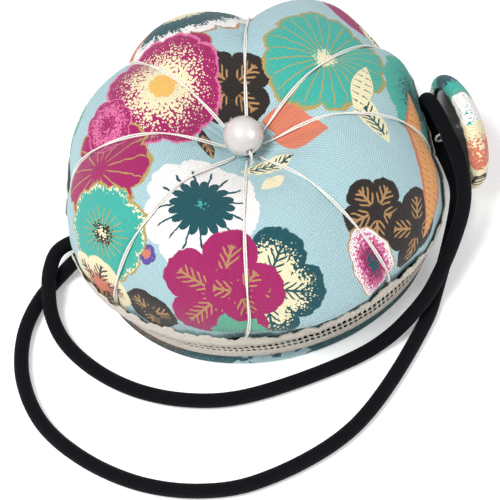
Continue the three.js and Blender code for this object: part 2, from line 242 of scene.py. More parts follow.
CUSHION_RADIUS = 39.0
WIDEST_HEIGHT = 12.3
CROWN_HEIGHT = 27.1
UNDERSIDE_DEPTH = 9.65
CROWN_POWER = 3.1
UNDERSIDE_POWER = 2.35
CUSHION_FLOOR = 7.8
DIMPLE_DEPTH = 9.4
DIMPLE_RADIUS = 12.1
GROOVE_DEPTH = 2.2
GROOVE_ROUNDING = 0.7
LEAN = np.array([-3.0, 1.0])
FRONT_TUCK = 6.5
TUCK_END_HEIGHT = 24.0
BASE_RADIUS = 35.8
BASE_TUCK = 4.9
THREAD_AZIMUTHS = [-157, -110, -61, -6, 27, 70, 117, 160]
SECTION_SWELLS = [0.95, 1, 1, 1, 1.12, 1.04, 1, 1]
# Where the outline is fuller than a circle: azimuth, spread in azimuth, and the radius added there.
BULGES = [(23, 10, 4.4), (46, 18, 2.5), (90, 26, 1.5)]
SECTIONS = len(THREAD_AZIMUTHS)
SECTION_WIDTHS = [(THREAD_AZIMUTHS[(i + 1) % SECTIONS] - a) % 360 for i, a in enumerate(THREAD_AZIMUTHS)]


def section_of(azimuth):
    """The section's number, and how far across it an azimuth is, from 0 to 1."""
    for i, (start, width) in enumerate(zip(THREAD_AZIMUTHS, SECTION_WIDTHS)):
        along = (azimuth - start) % 360
        if along < width - 1e-9:
            return i, along / width
    return 0, 0.0


def tuck_front(point, amount):
    """Moves a point of the front half backwards, by the amount where the cushion is widest."""
    x, y, z = point
    return np.array([x, y + amount * (min(0, y) / CUSHION_RADIUS) ** 2, z])


def bulge_at(azimuth):
    away = [((azimuth - centre + 180) % 360 - 180) / spread for centre, spread, _ in BULGES]
    return sum(amount * math.exp(-(a**2)) for a, (_, _, amount) in zip(away, BULGES))


def cushion_point(azimuth, share, below=False, groove=GROOVE_DEPTH):
    """A point of the cushion's surface. share is its radius over the widest radius."""
    i, across = section_of(azimuth)
    crown = math.sin(math.pi * across)
    power = UNDERSIDE_POWER if below else CROWN_POWER
    rise = -UNDERSIDE_DEPTH if below else CROWN_HEIGHT
    z = WIDEST_HEIGHT + rise * math.sqrt(max(0, 1 - share**power))
    fullness = max(0, (z - CUSHION_FLOOR) / (WIDEST_HEIGHT - CUSHION_FLOOR)) if below else 1
    fuller = CUSHION_RADIUS * (SECTION_SWELLS[i] - 1) * crown + bulge_at(azimuth)
    r = share * (CUSHION_RADIUS + fuller * fullness)
    if not below:
        z -= DIMPLE_DEPTH * math.exp(-((r / DIMPLE_RADIUS) ** 2))
    sunk = groove * (1 - crown**GROOVE_ROUNDING) * min(1, 1.5 * share)
    r -= sunk * max(0.25, share)
    if not below:
        z -= sunk * math.sqrt(1 - share**2)
    lean = LEAN * z / (WIDEST_HEIGHT + CROWN_HEIGHT)
    a = math.radians(azimuth)
    t = min(1, max(0, (z - WIDEST_HEIGHT) / (TUCK_END_HEIGHT - WIDEST_HEIGHT)))
    point = tuck_front((r * math.cos(a), r * math.sin(a), z), FRONT_TUCK * (1 - t * t * (3 - 2 * t)))
    return point + [*lean, 0]


FLOOR_SHARE = (1 - ((WIDEST_HEIGHT - CUSHION_FLOOR) / UNDERSIDE_DEPTH) ** 2) ** (1 / UNDERSIDE_POWER)


def meridian(azimuth, step, first=0.02):
    """The surface from near the bead down to the floor's edge along one azimuth, at equal steps."""
    shares = np.sin(np.linspace(math.asin(first), np.pi / 2, 80))
    upper = [cushion_point(azimuth, s) for s in shares]
    lower = [cushion_point(azimuth, s, True) for s in np.linspace(1, FLOOR_SHARE, 20)[1:]]
    return resample(np.array(upper + lower), step)


# ---------------------------------------------------------------- materials


class Graph:
    """Short calls for building a node material."""

    def __init__(self, name):
        self.material = bpy.data.materials.new(name)
        self.material.use_nodes = True
        self.tree = self.material.node_tree
        self.tree.nodes.clear()
        self.output = self.tree.nodes.new("ShaderNodeOutputMaterial")

    def new(self, kind, values=(), **settings):
        node = self.tree.nodes.new(kind)
        for key, value in settings.items():
            setattr(node, key, value)
        for key, value in dict(values).items():
            self.feed(node.inputs[key], value)
        return node

    def feed(self, socket, value):
        if isinstance(value, bpy.types.NodeSocket):
            self.tree.links.new(value, socket)
        else:
            socket.default_value = value

    def math(self, operation, a, b=0.0, c=0.0, clamp=False):
        return self.new("ShaderNodeMath", {0: a, 1: b, 2: c}, operation=operation, use_clamp=clamp).outputs[0]

    def vector(self, operation, a, b=(0, 0, 0)):
        node = self.new("ShaderNodeVectorMath", {0: a, 1: b}, operation=operation)
        return node.outputs["Value" if operation in ("DOT_PRODUCT", "LENGTH") else "Vector"]

    def mix(self, fac, a, b):
        node = self.new("ShaderNodeMix", data_type="RGBA")
        for socket, value in zip((node.inputs[0], node.inputs[6], node.inputs[7]), (fac, a, b)):
            self.feed(socket, value)
        return node.outputs[2]

    def step(self, value, low, high):
        """0 below low, 1 above high, smooth between. high may be the lower one."""
        node = self.new("ShaderNodeMapRange", {"Value": value}, interpolation_type="SMOOTHSTEP")
        self.feed(node.inputs["From Min"], low)
        self.feed(node.inputs["From Max"], high)
        return node.outputs[0]

    def noise(self, vector, scale, detail=2.0, roughness=0.5):
        values = {"Vector": vector, "Scale": scale, "Detail": detail, "Roughness": roughness}
        return self.new("ShaderNodeTexNoise", values).outputs[0]

    def object_mm(self):
        coordinates = self.new("ShaderNodeTexCoord").outputs["Object"]
        return self.vector("MULTIPLY", coordinates, (1 / MM,) * 3)

    def cloth_uv(self):
        uv = self.new("ShaderNodeUVMap", uv_map="Cloth").outputs[0]
        split = self.new("ShaderNodeSeparateXYZ", {0: uv})
        return split.outputs[0], split.outputs[1]

    def bump(self, height, distance, strength=1.0):
        values = {"Height": height, "Distance": distance, "Strength": strength}
        return self.new("ShaderNodeBump", values).outputs[0]

    def finish(self, **inputs):
        shader = self.new("ShaderNodeBsdfPrincipled", {k.replace("_", " "): v for k, v in inputs.items()})
        self.tree.links.new(shader.outputs[0], self.output.inputs[0])
        return self.material


def srgb(code):
    """A linear colour from a hexadecimal sRGB one."""
    parts = [int(code[i : i + 2], 16) / 255 for i in (0, 2, 4)]
    return (*[c / 12.92 if c <= 0.04045 else ((c + 0.055) / 1.055) ** 2.4 for c in parts], 1)


COLOURS = {
    name: srgb(code)
    for name, code in {
        "ground": "A8C8CE",
        "magenta": "A21860",
        "pink": "DE6FA0",
        "teal": "3DAFA0",
        "deep": "0B4C55",
        "brown": "241C18",
        "tan": "B4895A",
        "coral": "D67C60",
        "orange": "EFAA66",
        "cream": "F0E6BE",
        "white": "F3F0EE",
        "gold": "B59A55",
        "yellow": "F2BE62",
        "green": "5FA98F",
        "purple": "5A4C9C",
    }.items()
}

# The printed flowers and leaves. Each is centred at an azimuth and a share of the cushion's radius. Zones are colours
# from the centre outwards, each with the share of the petal's length where it ends, and how far its stipple spreads.
PRINT = [
    dict(
        at=(-136, 0.5), size=11.6, petals=7, notch=0.13, turn=10,
        zones=((1, "white"),), rays=(15, 0.78, "deep", 0.05),
    ),
    dict(
        at=(-136, 0.5), size=6.0, length=1.12, petals=17, notch=0.3, turn=0,
        zones=((0.12, "teal"), (1, "deep")), stipple=0.2,
    ),
    dict(
        at=(-149, 0.82), size=2.2, petals=5, notch=0.2, turn=0,
        zones=((0.5, "coral"), (1, "purple")), stipple=0.4,
    ),
    dict(
        at=(-104, 0.82), size=12.2, petals=5, notch=0.26, turn=62,
        zones=((0.74, "cream"), (1, "deep")), stipple=0.24, fern="deep",
    ),
    dict(
        at=(-119, 0.86), size=12.2, petals=5, notch=0.3, turn=20,
        zones=((1, "magenta"),), fern="tan",
    ),
    dict(at=(-113, 0.975), size=6, petals=3, notch=0.3, turn=100, zones=((1, "green"),)),
    dict(
        at=(-113, 0.84), size=6.6, petals=3, notch=0.3, turn=-60,
        zones=((1, "magenta"),), fern="tan",
    ),
    dict(
        at=(-71, 0.18), size=8.0, length=1.4, petals=0, turn=-30,
        zones=((1, "cream"),), fern="deep",
    ),
    dict(at=(-83, 0.31), size=6.0, length=0.95, petals=0, turn=10, zones=((1, "cream"),)),
    dict(
        at=(-51, 0.77), size=7.2, petals=5, notch=0.25, turn=10,
        zones=((1, "brown"),), fern="tan",
    ),
    dict(at=(-44, 0.93), size=8.2, petals=4, notch=0.3, turn=40, zones=((1, "brown"),), fern="tan"),
    dict(
        at=(-64, 0.9), size=5.2, length=1.7, petals=9, notch=0.1, turn=90,
        zones=((0.3, "deep"), (0.55, "magenta"), (0.8, "pink"), (1, "white")), stipple=0.3, outline="tan",
    ),
    dict(
        at=(-142, 0.985), size=6, petals=3, notch=0.12, turn=30,
        zones=((1, "brown"),), fern="tan",
    ),
    dict(at=(165, 0.2), size=5.2, length=1.3, petals=0, turn=20, zones=((1, "brown"),), fern="tan"),
    dict(at=(83, 0.28), size=8.5, petals=4, notch=0.3, turn=40, zones=((1, "brown"),), fern="tan"),
    dict(
        at=(28, 0.56), size=13.2, petals=12, notch=0.09, turn=0,
        zones=((0.17, "cream"), (0.9, "teal"), (1, "green")),
        stipple=0.1, outline="gold", rays=(24, 0.9, "gold", 0.026),
    ),
    dict(
        at=(6, 0.95), size=11, petals=11, notch=0.08, turn=0,
        zones=((0.5, "deep"), (1, "teal")), stipple=0.5, outline="green",
    ),
    dict(at=(10, 0.23), size=10.5, length=1.0, petals=0, turn=75, zones=((1, "coral"),)),
    dict(at=(-13, 0.27), size=12, length=1.0, petals=0, turn=80, zones=((1, "coral"),)),
    dict(
        at=(-9, 0.67), size=8.5, length=1.5, petals=0, turn=20,
        zones=((1, "cream"),), fern="deep",
    ),
    dict(
        at=(6, 0.66), size=8, length=1.5, petals=0, turn=-30,
        zones=((1, "cream"),), rays=(5, 0.9, "deep", 0.07),
    ),
    dict(
        at=(-18, 0.93), size=17, length=1.9, petals=0, turn=8,
        zones=((0.75, "orange"), (1, "coral")), rays=(13, 1.0, "brown", 0.03),
    ),
    dict(
        at=(108, 0.56), size=8.8, petals=6, notch=0.14, turn=0,
        zones=((0.25, "cream"), (1, "magenta")), stipple=0.55, outline="tan",
    ),
    dict(
        at=(92, 0.86), size=12.8, length=1.2, petals=15, notch=0.12, turn=0,
        zones=((0.3, "cream"), (0.76, "deep"), (1, "white")), stipple=0.12, outline="tan",
    ),
    dict(
        at=(126, 0.5), size=11.8, length=1.22, petals=8, notch=0.11, turn=15,
        zones=((0.24, "yellow", 0.03), (0.62, "cream", 0.46), (1, "magenta")), outline="pink",
    ),
    dict(
        at=(172, 0.76), size=11.4, petals=6, notch=0.16, turn=10,
        zones=((1, "magenta"),), outline="gold", rays=(14, 0.95, "gold", 0.03),
    ),
    dict(
        at=(152, 0.72), size=6, petals=7, notch=0.16, turn=0,
        zones=((0.4, "magenta"), (0.75, "pink"), (1, "magenta")), stipple=0.45, outline="pink",
    ),
    dict(
        at=(-168, 0.87), size=10.2, petals=10, notch=0.12, turn=0,
        zones=((0.1, "cream"), (0.24, "brown"), (0.94, "teal"), (1, "cream")),
        stipple=0.16, outline="gold", rays=(20, 0.55, "gold", 0.024),
    ),
    dict(
        at=(-163, 0.995), size=8, petals=5, notch=0.25, turn=20,
        zones=((0.5, "coral"), (1, "cream")), stipple=0.3, fern="brown",
    ),
    dict(
        at=(56, 0.94), size=8, petals=6, notch=0.2, turn=10,
        zones=((1, "white"),), rays=(11, 0.9, "deep", 0.06),
    ),
    dict(at=(36, 0.96), size=8, petals=5, notch=0.25, turn=20, zones=((1, "cream"),), fern="brown"),
    dict(
        at=(39, 0.87), size=10, length=1.2, petals=0, turn=12,
        zones=((1, "magenta"),), stipple=0.3,
    ),
    dict(at=(140, 0.98), size=8, petals=5, notch=0.25, turn=0, zones=((1, "green"),), fern="cream"),
    dict(
        at=(113, 0.97), size=9, petals=6, notch=0.2, turn=0,
        zones=((0.3, "yellow"), (1, "coral")), stipple=0.4, outline="tan",
    ),
]


def add_print(g, spot, coordinates, dots, wobble, colour):
    """Mixes one printed motif over a colour, in the plane through its centre."""
    centre, along, across, normal = spot["frame"]
    place = g.vector("SUBTRACT", coordinates, tuple(centre))
    u = g.vector("DOT_PRODUCT", place, tuple(along))
    v = g.vector("DOT_PRODUCT", place, tuple(across))
    depth = g.math("ABSOLUTE", g.vector("DOT_PRODUCT", place, tuple(normal)))
    turn = math.radians(spot["turn"])
    cosine, sine = math.cos(turn), math.sin(turn)
    a = g.math("ADD", g.math("MULTIPLY", u, cosine), g.math("MULTIPLY", v, sine))
    b = g.math("SUBTRACT", g.math("MULTIPLY", v, cosine), g.math("MULTIPLY", u, sine))
    size = spot["size"]
    if spot["petals"]:
        a = g.math("DIVIDE", a, spot.get("length", 1))
        radius = g.math("SQRT", g.math("ADD", g.math("MULTIPLY", a, a), g.math("MULTIPLY", b, b)))
        angle = g.math("ARCTAN2", b, a)
        petal = g.math("MULTIPLY", angle, spot["petals"] / (2 * math.pi))
        petal = g.math("SUBTRACT", petal, g.math("ROUND", petal))
        bow = g.math("SQRT", g.math("ABSOLUTE", g.math("COSINE", g.math("MULTIPLY", petal, math.pi))))
        edge = g.math("MULTIPLY_ADD", bow, spot["notch"] * size, (1 - spot["notch"]) * size)
        share = g.math("DIVIDE", radius, edge)
        turned = g.math("MULTIPLY", petal, 2 * math.pi / spot["petals"])
        a = g.math("MULTIPLY", radius, g.math("COSINE", turned))
        b = g.math("MULTIPLY", radius, g.math("SINE", turned))
    else:
        half = size * 0.5 * spot.get("length", 1)
        reach = g.math("ABSOLUTE", g.math("DIVIDE", a, half))
        bow = g.math("SUBTRACT", 1.0, g.math("POWER", reach, 1.8), clamp=True)
        share = g.math("DIVIDE", g.math("ABSOLUTE", b), g.math("MULTIPLY_ADD", bow, size * 0.32, 0.001))
        angle = g.math("MULTIPLY", a, 2 * math.pi / size)
        a = g.math("ADD", a, half)
    share = g.math("ADD", share, g.math("MULTIPLY_ADD", wobble, 0.16, -0.08))
    speckle = g.math("SUBTRACT", dots, 0.45)
    zones = spot["zones"]
    ink = COLOURS[zones[-1][1]]
    for limit, name, *spread in reversed(zones[:-1]):
        spread = spread[0] if spread else spot.get("stipple", 0.02)
        dotted = g.math("MULTIPLY_ADD", speckle, 2 * spread, share)
        ink = g.mix(g.step(dotted, limit + 0.015, limit - 0.015), ink, COLOURS[name])
    if "rays" in spot:
        count, reach, name, breadth = spot["rays"]
        beam = g.math("MULTIPLY_ADD", angle, count / (2 * math.pi), g.math("MULTIPLY", wobble, 0.35))
        beam = g.math("ABSOLUTE", g.math("SUBTRACT", beam, g.math("ROUND", beam)))
        width = g.math("DIVIDE", breadth * count, g.math("ADD", g.math("MULTIPLY", share, size), 0.5))
        beam = g.step(beam, width, g.math("MULTIPLY", width, 0.5))
        beam = g.math("MULTIPLY", beam, g.step(share, reach, reach - 0.05))
        ink = g.mix(g.math("MULTIPLY", beam, g.step(share, 0.15, 0.25)), ink, COLOURS[name])
    if "fern" in spot:
        side = g.math("ABSOLUTE", b)
        stem = g.step(side, 0.34, 0.16)
        barb = g.math("MULTIPLY_ADD", side, -1.1, g.math("MULTIPLY_ADD", wobble, 0.8, a))
        barb = g.math("FRACT", g.math("DIVIDE", barb, 1.45))
        barb = g.math("MULTIPLY", g.step(barb, 0.42, 0.32), g.step(side, 1.9, 1.6))
        fern = g.math("MAXIMUM", stem, barb)
        fern = g.math("MULTIPLY", fern, g.step(a, size * 0.22, size * 0.26))
        fern = g.math("MULTIPLY", fern, g.step(share, 0.78, 0.74))
        ink = g.mix(fern, ink, COLOURS[spot["fern"]])
    if "outline" in spot:
        ink = g.mix(g.step(share, 0.93, 0.955), ink, COLOURS[spot["outline"]])
    mask = g.math("MULTIPLY", g.step(share, 1.0, 0.975), g.step(depth, 9.5, 9.0))
    return g.mix(mask, colour, ink)


def cushion_frame(azimuth, share):
    """A place on the cushion with its two directions along the cloth and the one out of it."""
    centre = cushion_point(azimuth, share, groove=0)
    along = cushion_point(azimuth + 1, share, groove=0) - cushion_point(azimuth - 1, share, groove=0)
    across = cushion_point(azimuth, share - 0.02, groove=0) - centre
    normal = np.cross(along, across)
    along, normal = along / np.linalg.norm(along), normal / np.linalg.norm(normal)
    return [tuple(float(c) for c in v) for v in (centre, along, np.cross(normal, along), normal)]


WEAVE_PITCH = 0.46  # two threads of the cushion's cotton


def printed_cotton(name, spots):
    """Woven cotton with the spots printed on it."""
    g = Graph(name)
    place = g.object_mm()
    dots = g.new("ShaderNodeTexVoronoi", {"Vector": place, "Scale": 1.9}).outputs["Distance"]
    wobble = g.noise(place, 0.55, 3.0)
    u, v = g.cloth_uv()
    warp = g.math("ABSOLUTE", g.math("SINE", g.math("MULTIPLY", u, math.pi / WEAVE_PITCH)))
    weft = g.math("ABSOLUTE", g.math("SINE", g.math("MULTIPLY", v, math.pi / WEAVE_PITCH)))
    weave = g.math("MULTIPLY", g.math("ADD", warp, weft), 0.5)
    colour = COLOURS["ground"]
    for spot in spots:
        colour = add_print(g, spot, place, dots, wobble, colour)
    slubs = g.noise(place, 3.2, 2.0)
    shade = g.math("MULTIPLY_ADD", weave, 0.42, g.math("MULTIPLY_ADD", slubs, 0.28, 0.58))
    shade = g.new("ShaderNodeCombineXYZ", {0: shade, 1: shade, 2: shade}).outputs[0]
    colour = g.vector("MULTIPLY", colour, shade)
    height = g.math("MULTIPLY_ADD", slubs, 0.5, weave)
    normal = g.bump(height, 0.0002, 0.7)
    return g.finish(Base_Color=colour, Roughness=0.88, Sheen_Weight=0.12, Normal=normal)


def tinted(name, colour, other, scale, bump=0.00005, roughness=0.8, metallic=0.0):
    """A plain material mottled between two colours, with fine relief."""
    g = Graph(name)
    grain = g.noise(g.object_mm(), scale, 4.0)
    mixed = g.mix(grain, srgb(colour), srgb(other))
    rough = g.math("MULTIPLY_ADD", grain, 0.1, roughness - 0.05)
    return g.finish(Base_Color=mixed, Roughness=rough, Metallic=metallic, Normal=g.bump(grain, bump))


def spun_thread(name, colour, other):
    """Fine twisted fibres, wound slantwise round a tube."""
    g = Graph(name)
    along, angle = g.cloth_uv()
    ply = g.math("SINE", g.math("MULTIPLY_ADD", along, 9.0, g.math("MULTIPLY", angle, 4 * math.pi)))
    fibre = g.noise(g.object_mm(), 6.0, 3.0)
    mixed = g.mix(g.math("MULTIPLY_ADD", ply, 0.3, g.math("MULTIPLY", fibre, 0.9)), srgb(other), srgb(colour))
    return g.finish(Base_Color=mixed, Roughness=0.55, Sheen_Weight=0.2, Normal=g.bump(ply, 0.00005, 0.6))


def braided_elastic():
    """Black covered elastic: fine ribs along it, crossed by the braid."""
    g = Graph("elastic_braid")
    along, angle = g.cloth_uv()
    ribs = g.math("SINE", g.math("MULTIPLY", angle, 2 * math.pi * 18))
    cross = g.math("SINE", g.math("MULTIPLY_ADD", along, 7.5, g.math("MULTIPLY", angle, 2 * math.pi * 6)))
    fuzz = g.noise(g.object_mm(), 4.0, 5.0, 0.7)
    relief = g.math("MULTIPLY_ADD", ribs, 0.5, g.math("MULTIPLY_ADD", cross, 0.25, fuzz))
    colour = g.mix(g.math("MULTIPLY_ADD", relief, 0.4, 0.1, clamp=True), srgb("050609"), srgb("13151C"))
    normal = g.bump(relief, 0.0001, 0.7)
    return g.finish(Base_Color=colour, Roughness=0.92, Specular_IOR_Level=0.15, Sheen_Weight=0.02, Normal=normal)


def pearl_material():
    g = Graph("pearl_lustre")
    place = g.object_mm()
    cloud = g.noise(place, 0.35, 2.0)
    colour = g.mix(cloud, srgb("EAE5E1"), srgb("DBD3D4"))
    grain = g.noise(place, 3.0, 2.0)
    return g.finish(
        Base_Color=colour,
        Roughness=0.22,
        Metallic=0.1,
        Coat_Weight=0.9,
        Coat_Roughness=0.04,
        Specular_IOR_Level=0.7,
        Normal=g.bump(grain, 0.00001, 0.4),
    )


def lace_material():
    """Cream cotton tape, with the crosswise ridges of its stitches."""
    g = Graph("cotton_lace")
    along, up = g.cloth_uv()
    fibre = g.noise(g.object_mm(), 3.5, 4.0, 0.7)
    rows = g.math("SINE", g.math("MULTIPLY_ADD", up, 8.5, g.math("MULTIPLY", fibre, 3.0)))
    loops = g.math("SINE", g.math("MULTIPLY", along, 11.0))
    relief = g.math("MULTIPLY_ADD", g.math("MULTIPLY", rows, loops), 0.6, fibre)
    colour = g.mix(g.math("MULTIPLY_ADD", relief, 0.5, 0.3, clamp=True), srgb("C9BCAB"), srgb("F1EADF"))
    return g.finish(Base_Color=colour, Roughness=0.9, Sheen_Weight=0.1, Normal=g.bump(relief, 0.00015, 0.8))


# ---------------------------------------------------------------- cushion cover

MERIDIAN_STEPS = 72
STEPS_PER_SECTION = 20
COVER_TOP_SHARE = 0.045
GATHER_RADIUS = 8.0
FLOOR_STEPS = (0.2, 0.45, 0.72, 1)  # rows of the floor, as shares of the way to the gather
COVER_THICKNESS = 0.4
SMOOTHING = 1  # subdivision of the cushion's and the button's cloth
SWELL_LIMIT = 0.7  # how far the pressure may move the cloth
SWELL_FRAMES = 20
HOLD = (1.0, 0.6, 0.25)  # how firmly the cloth is held on a tied line, and one and two rows from it


def pucker(azimuth, across, rise):
    """The depth of the small folds that the threads and the gathered edges draw in the cloth."""
    a = math.radians(azimuth)
    near_thread = math.exp(-((min(across, 1 - across) / 0.16) ** 2))
    folds = math.sin(38 * rise + 2.3 * math.sin(3 * a)) * math.sin(11 * rise + 5 * a)
    gathers = math.sin(23 * a + 2 * math.sin(5 * a)) * math.exp(-((rise / 0.2) ** 2))
    hem = math.sin(31 * a + 3 * math.sin(4 * a)) * math.exp(-(((1 - rise) / 0.16) ** 2))
    broad = math.sin(4.1 * rise + 2.7 * a) * math.sin(2.3 * a + 6.5 * rise)
    return 0.22 * near_thread * folds + (0.3 * gathers + 0.35 * hem) + 0.12 * broad


def cover_grid():
    """The azimuth of each column of the cover's grid, and the grid's points from the bead down to the gather."""
    places = []
    for start, width in zip(THREAD_AZIMUTHS, SECTION_WIDTHS):
        for k in range(STEPS_PER_SECTION):
            even = k / STEPS_PER_SECTION
            eased = 0.5 - 0.5 * math.cos(math.pi * even)
            across = 0.45 * even + 0.55 * eased
            places.append((start + width * across, across))
    columns = []
    for azimuth, across in places:
        line = meridian(azimuth, 0.4, COVER_TOP_SHARE)
        wanted = np.linspace(0, len(line) - 1, MERIDIAN_STEPS)
        line = np.stack([np.interp(wanted, np.arange(len(line)), line[:, i]) for i in range(3)], -1)
        tangent = np.gradient(line, axis=0)
        a = math.radians(azimuth)
        normal = np.cross([-math.sin(a), math.cos(a), 0], tangent)
        normal /= -np.linalg.norm(normal, axis=1)[:, None]
        rises = np.linspace(0, 1, MERIDIAN_STEPS)
        depth = np.array([pucker(azimuth, across, r) for r in rises]) * np.minimum(1, 6 * rises)
        line = line + normal * depth[:, None]
        edge = line[-1]
        axis = np.array([*(LEAN * CUSHION_FLOOR / (WIDEST_HEIGHT + CROWN_HEIGHT)), CUSHION_FLOOR])
        inward = (axis - edge) * (1 - GATHER_RADIUS / np.linalg.norm(axis - edge))
        columns.append(np.vstack([line, [edge + inward * t for t in FLOOR_STEPS]]))
    return [azimuth for azimuth, _ in places], np.array(columns)


def press_out(piece, held):
    """Blows the cloth out against its held lines with a pressure simulation, and keeps the result."""
    group = piece.vertex_groups.new(name="held")
    for weight in HOLD:
        group.add([i for i, w in held.items() if w == weight], weight, "REPLACE")
    cloth = piece.modifiers.new("cloth", "CLOTH")
    settings = cloth.settings
    settings.quality = 5
    settings.mass = 0.15
    settings.tension_stiffness = settings.compression_stiffness = 15
    settings.shear_stiffness = 5
    settings.bending_stiffness = 0.3
    settings.use_pressure = True
    settings.uniform_pressure_force = 4
    settings.vertex_group_mass = "held"
    settings.effector_weights.gravity = 0
    cloth.point_cache.frame_start, cloth.point_cache.frame_end = 1, SWELL_FRAMES
    for step in range(1, SWELL_FRAMES + 1):
        bpy.context.scene.frame_set(step)
        shaped = piece.evaluated_get(bpy.context.evaluated_depsgraph_get()).to_mesh()
        count = len(shaped.vertices)
        moved = np.zeros(count * 3, np.float32)
        shaped.vertices.foreach_get("co", moved)
    start = np.zeros(count * 3, np.float32)
    piece.data.vertices.foreach_get("co", start)
    shift = (moved - start).reshape(-1, 3)
    length = np.linalg.norm(shift, axis=1)[:, None]
    shift *= np.minimum(1, SWELL_LIMIT * MM / np.maximum(length, 1e-9))
    piece.modifiers.remove(cloth)
    piece.data.vertices.foreach_set("co", start + shift.ravel())
    piece.data.update()
    bpy.context.scene.frame_set(1)


def apply_modifiers(piece):
    """Replaces the mesh by what its modifiers make of it."""
    graph = bpy.context.evaluated_depsgraph_get()
    shaped = piece.evaluated_get(graph)
    mesh = bpy.data.meshes.new_from_object(shaped, preserve_all_data_layers=True, depsgraph=graph)
    piece.modifiers.clear()
    piece.data = mesh


def thicken(piece, thickness, levels):
    """Gives a cloth surface its thickness inwards, and rounds it."""
    if levels:
        smooth = piece.modifiers.new("smooth", "SUBSURF")
        smooth.levels = smooth.render_levels = levels
    solid = piece.modifiers.new("thickness", "SOLIDIFY")
    solid.thickness = thickness * MM
    solid.offset = -1
    apply_modifiers(piece)
    piece.data.shade_smooth()


def cover_materials(grid):
    """One material for each section, with the motifs that reach it."""
    for spot in PRINT:
        spot["frame"] = cushion_frame(*spot["at"])
    materials = []
    for section in range(SECTIONS):
        first = section * STEPS_PER_SECTION
        own = grid[first : first + STEPS_PER_SECTION + 1].reshape(-1, 3)
        spots = []
        for spot in PRINT:
            reach = spot["size"] * max(1, spot.get("length", 1)) * 1.1
            if np.linalg.norm(own - spot["frame"][0], axis=1).min() < reach:
                spots.append(spot)
        materials.append(printed_cotton(f"floral_cotton_{section + 1}", spots))
    return materials


def cushion_cover():
    azimuths, grid = cover_grid()
    count, rows = grid.shape[:2]
    spans = np.linalg.norm(np.diff(grid, axis=1), axis=2)
    lengths = np.concatenate([np.zeros((count, 1)), np.cumsum(spans, axis=1)], axis=1)
    faces, uv, sections = [], [], []
    for i in range(count):
        j = (i + 1) % count
        section = i // STEPS_PER_SECTION
        middle = THREAD_AZIMUTHS[section] + SECTION_WIDTHS[section] / 2
        for k in range(rows - 1):
            corners = ((i, k), (i, k + 1), (j, k + 1), (j, k))
            faces.append([a * rows + b for a, b in corners])
            sections.append(section)
            for a, b in corners:
                turn = math.radians((azimuths[a] - middle + 180) % 360 - 180)
                uv.append((turn * np.hypot(*grid[a, b, :2]), lengths[a, b]))
    piece = mesh_object("cushion_cover", grid.reshape(-1, 3), faces, uv)
    held = {}
    for i in range(count):
        off = min(i % STEPS_PER_SECTION, STEPS_PER_SECTION - i % STEPS_PER_SECTION)
        for k in range(rows):
            end = min(k, MERIDIAN_STEPS - k) if k < MERIDIAN_STEPS else 0
            nearest = min(off, end)
            if nearest < len(HOLD):
                held[i * rows + k] = HOLD[nearest]
    dress(piece, *cover_materials(grid))
    piece.data.polygons.foreach_set("material_index", sections)
    press_out(piece, held)
    thicken(piece, COVER_THICKNESS, SMOOTHING)
    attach(piece, "cushion")
    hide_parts("floral_cover")


cushion_cover()

# ---------------------------------------------------------------- threads

THREAD_LIFT = 0.5  # from the cloth to the middle of the wrap
STRAND_RADIUS = 0.17


def wrap_path(azimuth):
    """The line of one wrap of thread down its groove, from beside the bead to under the cushion."""
    shares = (0.09, 0.16, 0.28, 0.42, 0.57, 0.72, 0.84, 0.93, 0.98)
    a = math.radians(azimuth)
    side = np.array([-math.sin(a), math.cos(a), 0])
    points = []
    for share, below in [(s, False) for s in shares] + [(s, True) for s in (1, 0.98, 0.95)]:
        near = min(share + 0.01, 1)
        along = cushion_point(azimuth, near, below) - cushion_point(azimuth, near - 0.02, below)
        normal = np.cross(along, side) * (-1 if below else 1)
        points.append(cushion_point(azimuth, share, below) + normal / np.linalg.norm(normal) * THREAD_LIFT)
    outward = np.array([math.cos(a), math.sin(a), 0])
    lowest = cushion_point(azimuth, FLOOR_SHARE, True)
    points.append(lowest + outward * 0.5 - [0, 0, 0.5])
    points.append(lowest - outward * 1.2 - [0, 0, 0.75])
    return smooth_path(points, 0.35)


def threads():
    look = spun_thread("cotton_thread", "FFFDF8", "E2DDD4")
    for number, azimuth in enumerate(THREAD_AZIMUTHS, 1):
        paths = twisted(wrap_path(azimuth), 2, 0.2, 26.0 + 3 * (number % 3))
        piece = tube_object(f"wrap_{number}", paths, STRAND_RADIUS, 8)
        dress(piece, look)
        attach(piece, "cushion")
        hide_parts(f"section_thread_{number}")
    return look


thread_look = threads()

# ---------------------------------------------------------------- pearl and its stitch

PEARL_CENTRE = np.array([-3.0, 1.0, 35.3])
PEARL_RADIUS = 4.0
PEARL_HOLE = 0.8


def pearl():
    start = math.asin(PEARL_HOLE / PEARL_RADIUS)
    arc = np.linspace(start, np.pi - start, 49)
    profile = [(PEARL_RADIUS * math.sin(a), -PEARL_RADIUS * math.cos(a)) for a in arc]
    inner = PEARL_RADIUS * math.cos(start) - 0.25
    profile += [(PEARL_HOLE - 0.08, inner), (PEARL_HOLE - 0.08, -inner)]
    sides, count = 64, len(profile)
    vertices = [
        PEARL_CENTRE + [r * math.cos(a), y, r * math.sin(a)]
        for a in 2 * np.pi * np.arange(sides) / sides
        for r, y in profile
    ]
    faces = []
    for i in range(sides):
        here, beside = i * count, (i + 1) % sides * count
        for j in range(count):
            above = (j + 1) % count
            faces.append([beside + j, beside + above, here + above, here + j])
    piece = mesh_object("pearl", vertices, faces)
    dress(piece, pearl_material())
    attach(piece, "pearl")
    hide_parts("pearl_bead")


